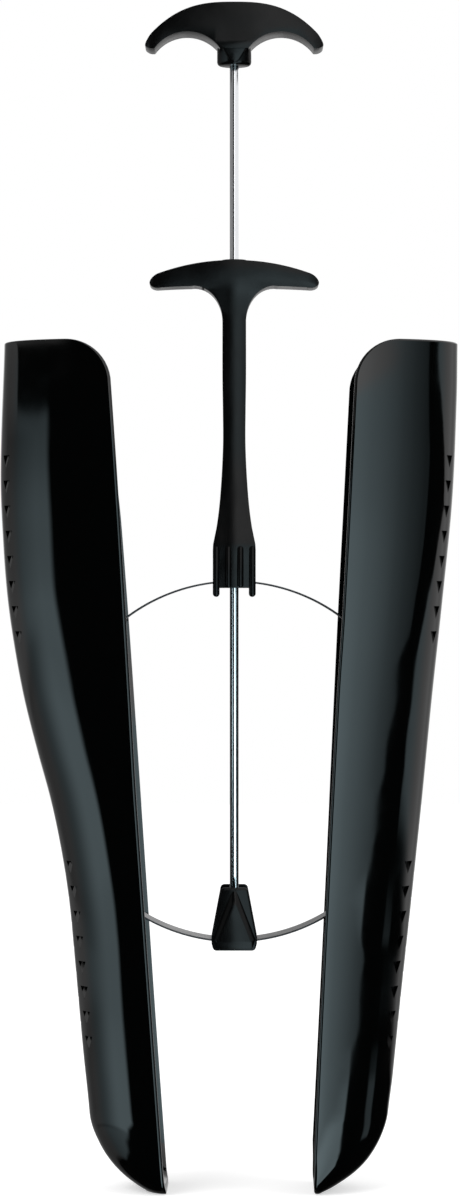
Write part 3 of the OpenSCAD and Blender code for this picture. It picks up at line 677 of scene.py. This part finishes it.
def grip_depth(x, z):
    s = min(1.0, abs(x) / (grip_len / 2))
    arm = grip_d / 2 - 1.5 * s * s - 2.2 * (1 - end_round(s, grip_len, grip_end))
    if z >= arm_under + 4:
        return arm
    post = curve_at(stem_depths, z - shoulder) + (grip_d / 2 - stem_half_d - 1.5) * fillet(z)
    post -= 0.35 * min(1.0, (x / stem_half_w) ** 2)
    if z < arm_under - 2:
        return post
    share = (z - arm_under + 2) / 6
    return post + (arm - post) * share * share * (3 - 2 * share)


grip_x_cuts = [0] + [x for n in (1.3, 2.6, 6, 12, 18, 24, 29, 33, 36) for x in (-n, n)]
grip_z_cuts = [shoulder + n for n in (-7, -5, -3, -1, 1, 3, 5, 7, 10, 14, 18, 22, 28, 36, 46)]
grip_z_cuts += [arm_under - n for n in (13, 10, 7, 5, 3.5, 2, 1, -0.5, -2, -4)]
grip = slab("t_grip", grip_outline(), grip_depth, grip_x_cuts, grip_z_cuts, 2.4, handle_black)


def bar(name, x, y, low, high, radius, reach, material):
    """A rib with round ends, half sunk in the face that carries it."""
    bm = bmesh.new()
    bmesh.ops.create_uvsphere(bm, u_segments=24, v_segments=16, radius=radius * mm)
    for v in bm.verts:
        v.co.y *= reach / radius
        v.co.z += ((high - radius) if v.co.z > 0 else (low + radius)) * mm
        v.co.x += x * mm
        v.co.y += y * mm
    return new_object(name, bm, material)


def join(target, *others):
    """Adds the other pieces' meshes to the target as separate closed shells of one piece."""
    bm = bmesh.new()
    for thing in (target, *others):
        bm.from_mesh(thing.data)
    bm.to_mesh(target.data)
    bm.free()
    for thing in others:
        bpy.data.objects.remove(thing)
    smoothed(target.data, 40)
    return target


def rod_bore(low, high, radius):
    """A round bar about the rod's axis to cut with."""
    bm = bmesh.new()
    bmesh.ops.create_cone(bm, cap_ends=True, segments=48, radius1=radius * mm, radius2=radius * mm,
                          depth=(high - low) * mm)
    bmesh.ops.translate(bm, verts=bm.verts, vec=(0, 0, (high + low) / 2 * mm))
    return new_object("bore", bm)


cut(grip, disc("band_channel", hoop_r + clamp_gap, channel_half),
    rod_bore(foot_bottom - bore_past, arm_top + bore_past, bore_r))
ribs = []
groove_w = (foot_w - 4 * rib_w) / 3
for front in (-1, 1):
    for k in (-1.5, -0.5, 0.5, 1.5):
        drop = leg_drop if abs(k) > 1 else 0
        ribs.append(bar("rib", k * (rib_w + groove_w), front * (foot_half_d - rib_reach), foot_bottom - drop,
                        shoulder + rib_over, rib_w / 2, rib_reach, handle_black))
join(grip, *ribs)
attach(grip, "grip")
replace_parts(grip, "t_handle")

# The palm handle is a crescent in the same satin black, with two finger arches. Its middle runs
# down in a tongue over a round hub that takes the rod.
pull_gap, palm_lift, palm_crown, palm_fall, palm_len, palm_end = 88.1, 6.7, 27.4, 17.0, 80.0, 3.0
arch_r, arch_x, arch_low, hub_r, hub_h = 18.0, 21.1, 3.8, 7.7, 11.0
hub_bottom = arm_top + pull_gap
palm_under, crown_z, arch_z = hub_bottom + palm_lift, hub_bottom + palm_crown, hub_bottom - arch_low


def palm_high(s):
    return crown_z - palm_fall * abs(s) ** 2.8


def palm_low(x):
    return max(palm_under, arch_z + math.sqrt(max(0.0, arch_r ** 2 - (x - arch_x) ** 2)))


def palm_outline():
    start = arch_x - math.sqrt(arch_r ** 2 - (palm_under - arch_z) ** 2)
    right, end_x = [(2.6, palm_under)], palm_len / 2 - palm_end
    for k in range(31):
        x = start + (end_x - start) * (1 - math.cos(math.radians(180 * k / 30))) / 2
        right.append((x, palm_low(x)))
    for k in range(1, 18):
        a = math.radians(-90 + 180 * k / 18)
        x = end_x + palm_end * math.cos(a)
        low, high = palm_low(x), palm_high(x / (palm_len / 2))
        right.append((x, (low + high) / 2 + (high - low) / 2 * math.sin(a)))
    for k in range(0, 41):
        x = end_x * math.cos(math.radians(90 * k / 40))
        right.append((x, palm_high(x / (palm_len / 2))))
    left = [(-x, z) for x, z in right[:-1]]
    return right + left[::-1]


def palm_depth(x, z):
    s = min(1.0, abs(x) / (palm_len / 2))
    return grip_d / 2 - 1.5 * s * s - 2.2 * (1 - end_round(s, palm_len, palm_end))


def tongue_depth(x, z):
    return 8.2 + 1.2 * min(1.0, (z - hub_bottom) / hub_h)


palm_x_cuts = [x for n in (8, 14, 20, 26, 31, 35, 38) for x in (-n, n)]
palm = slab("palm_grip", palm_outline(), palm_depth, palm_x_cuts, [palm_under + 3.5, palm_under + 10], 2.6,
            handle_black)
right = [(x, hub_bottom + z) for x, z in ((1.4, 0.9), (2.4, 1.9), (6.9, 9.4), (7.6, 14))]
tongue = slab("tongue", right + [(-x, z) for x, z in right[::-1]], tongue_depth, [0.0], [hub_bottom + 5], 0.8,
              handle_black)
hub = bmesh.new()
profile = [(0.0, 0.0), (hub_r - 1.6, 0.0), (hub_r - 0.9, 0.15), (hub_r - 0.3, 0.65), (hub_r, 1.5),
           (hub_r, hub_h), (0.0, hub_h)]
verts = [hub.verts.new((x * mm, 0, (hub_bottom + z) * mm)) for x, z in profile]
edges = [hub.edges.new(pair) for pair in zip(verts, verts[1:])]
bmesh.ops.spin(hub, geom=verts + edges, cent=(0, 0, 0), axis=(0, 0, 1), angle=math.tau, steps=48,
               use_merge=True)
bmesh.ops.remove_doubles(hub, verts=hub.verts, dist=1e-6)
bmesh.ops.recalc_face_normals(hub, faces=hub.faces)
join(palm, tongue, new_object("hub", hub, handle_black))
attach(palm, "plunger")
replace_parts(palm, "top_handle")

# The clip is a wedge of the same black on the rod's lower end, with a raised facet on each face.
# The band's bottom runs through it.
clip_drop, clip_h, clip_w, clip_top_w, waist_up, wedge_t = 3.7, 28.2, 20.4, 12.5, 5.6, 1.4
clip_bottom = hoop_z - hoop_r - clip_drop
clip_top, clip_waist = clip_bottom + clip_h, clip_bottom + waist_up
clip_half_d = channel_half + fork_t - wedge_t


def clip_outline():
    half, top_half, r = clip_w / 2, clip_top_w / 2, 1.9
    right = [(half - 2.0, clip_bottom), (half - 1.1, clip_bottom + 0.4), (half - 0.6, clip_bottom + 1.2),
             (half - 0.05, clip_bottom + 3.2), (half, clip_waist)]
    for k in range(9):
        a = math.radians(10 + 10 * k)
        right.append((top_half - r + r * math.cos(a), clip_top - r + r * math.sin(a)))
    return right + [(-x, z) for x, z in right[::-1]]


clip = slab("wedge_clip", clip_outline(), lambda x, z: clip_half_d, [], [clip_waist], 0.9, handle_black)
cut(clip, disc("clip_channel", hoop_r + clamp_gap, channel_half))
facets = []
for front in (-1, 1):
    bm = bmesh.new()
    for x, y, z in ((1.2, 0.0, clip_top - 1.4), (clip_w / 2 - 0.4, -0.1, clip_waist - 0.4),
                    (clip_w / 2 - 2.1, 0.0, clip_bottom + 0.7), (clip_w / 2 - 2.6, wedge_t, clip_waist - 1.6),
                    (1.0, wedge_t, clip_top - 7.5)):
        for side in (-1, 1):
            bm.verts.new((side * x * mm, front * (clip_half_d + y) * mm, z * mm))
            bm.verts.new((side * x * mm, front * (clip_half_d - 1) * mm, z * mm))
    bmesh.ops.convex_hull(bm, input=bm.verts)
    bmesh.ops.dissolve_limit(bm, angle_limit=0.02, verts=bm.verts, edges=bm.edges)
    bmesh.ops.bevel(bm, geom=bm.edges[:], offset=0.4 * mm, segments=3, profile=0.5, affect="EDGES",
                    clamp_overlap=True, material=-1)
    bmesh.ops.recalc_face_normals(bm, faces=bm.faces)
    facets.append(new_object("facet", bm, handle_black))
join(clip, *facets)
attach(clip, "plunger")
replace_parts(clip, "bottom_clip")

# The rod is 4 mm bright drawn steel, polished, with faint draw lines along it. Its upper end is
# pinned in the palm handle's hub and its lower end in the clip, just over the band.
rod_r, rod_in_hub, rod_over_band, band_t = 2.0, 20.0, 1.6, 0.75
rod_bottom, rod_top = hoop_z - hoop_r + band_t + rod_over_band, hub_bottom + rod_in_hub


def metal(name, colour, stretch, size, detail, smooth, rough):
    """A bare metal whose roughness follows fine lines or specks."""
    material, tree, shader = new_material(name)
    shader.inputs["Base Color"].default_value = (*colour, 1)
    shader.inputs["Metallic"].default_value = 1
    place = node(tree, "ShaderNodeTexCoord").outputs["Object"]
    drawn = node(tree, "ShaderNodeMapping", {"Vector": place, "Scale": stretch})
    lines = node(tree, "ShaderNodeTexNoise", {"Vector": drawn.outputs[0], "Scale": size, "Detail": detail})
    tree.links.new(smooth_between(tree, lines.outputs["Fac"], 0.3, 0.7, smooth, rough),
                   shader.inputs["Roughness"])
    return material, tree, shader, lines.outputs["Fac"]


rod_steel, tree, shader, lines = metal("rod_steel", (0.72, 0.73, 0.75), (1, 1, 0.01), 2600.0, 2.0, 0.14, 0.2)
bump = node(tree, "ShaderNodeBump", {"Height": lines, "Distance": 0.00001, "Strength": 0.15})
tree.links.new(bump.outputs[0], shader.inputs["Normal"])
bm = bmesh.new()
bmesh.ops.create_cone(bm, cap_ends=True, segments=64, radius1=rod_r * mm, radius2=rod_r * mm,
                      depth=(rod_top - rod_bottom) * mm)
bmesh.ops.translate(bm, verts=bm.verts, vec=(0, 0, (rod_top + rod_bottom) / 2 * mm))
rims = [e for e in bm.edges if e.calc_face_angle(0) > 1]
bmesh.ops.bevel(bm, geom=rims, offset=0.3 * mm, segments=2, profile=0.5, affect="EDGES", material=-1)
rod = new_object("rod_bar", bm, rod_steel)
baked(rod)
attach(rod, "plunger")
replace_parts(rod, "rod")

# The hoop is flat spring steel, 20 by 0.75 mm, blackened, made as four quarters: each
# runs from a handle's clamp at one end to a shell's seat at the other.
band_w, band_corner, lap_gap, clamp_half, seat_hold = 20.0, 0.25, 1.2, 8.0, 7.0
spring_steel, *_ = metal("spring_steel", (0.06, 0.06, 0.064), (0.05, 1, 0.05), 1500.0, 2.0, 0.28, 0.42)


def quarter(name, side, up, gap, nodes):
    """A quarter of the hoop, from a clamp at the rod to a shell's side."""
    bm = bmesh.new()
    start = math.asin(gap / hoop_r)
    end = math.radians(90) - math.asin(lap_gap / hoop_r)
    r_in, r_out, half, corner = hoop_r - band_t, hoop_r, band_w / 2, band_corner
    ring = [(r_in + corner, -half), (r_out - corner, -half), (r_out, -half + corner), (r_out, half - corner),
            (r_out - corner, half), (r_in + corner, half), (r_in, half - corner), (r_in, -half + corner)]
    verts = [bm.verts.new((0, y * mm, r * mm)) for r, y in ring]
    face = bm.faces.new(verts)
    bmesh.ops.rotate(bm, verts=bm.verts, matrix=Matrix.Rotation(start, 3, "Y"))
    bmesh.ops.spin(bm, geom=[face], cent=(0, 0, 0), axis=(0, 1, 0), angle=end - start, steps=64)
    place = Matrix.Translation((0, 0, hoop_z * mm)) @ Matrix.Diagonal((side, 1, up, 1))
    bmesh.ops.transform(bm, matrix=place, verts=bm.verts)
    bmesh.ops.recalc_face_normals(bm, faces=bm.faces)
    made = new_object(name, bm, spring_steel)
    baked(made)
    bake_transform(made)
    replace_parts(made, *nodes)
    return made


quarter("upper_band_left", -1, 1, 3.0, ["upper_band"])
quarter("upper_band_right", 1, 1, 3.0, ["upper_band"])
quarter("lower_band_left", -1, -1, 0.0, ["lower_band"])
quarter("lower_band_right", 1, -1, 0.0, ["lower_band"])

# What is left is small hardware, made as the CAD has it: bushes and keepers in plain black
# plastic, joiners of the band's own steel, and screws, pins and rivets in zinc-plated steel.
bush_black = plastic("bush_black", (0.012, 0.012, 0.013), 0.4, 0.55, 60.0, 0.0002, 1800.0, 0.05)
keeper_black = plastic("keeper_black", (0.01, 0.01, 0.011), 0.45, 0.6, 60.0, 0.0002, 1500.0, 0.08)
fastener_steel, *_ = metal("fastener_steel", (0.55, 0.56, 0.58), (1, 1, 1), 900.0, 3.0, 0.25, 0.45)
hardware = {
    "upper_bush": bush_black, "lower_bush": bush_black, "foot_plate": handle_black, "clip_base": handle_black,
    "left_keeper": keeper_black, "right_keeper": keeper_black, "left_joiner": spring_steel,
    "right_joiner": spring_steel, "foot_screws": fastener_steel, "clip_screws": fastener_steel,
    "handle_pin": fastener_steel, "clip_pin": fastener_steel, "left_keeper_screws": fastener_steel,
    "right_keeper_screws": fastener_steel, "left_rivets": fastener_steel, "right_rivets": fastener_steel,
}
for name, material in hardware.items():
    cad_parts[name].data.materials.clear()
    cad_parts[name].data.materials.append(material)
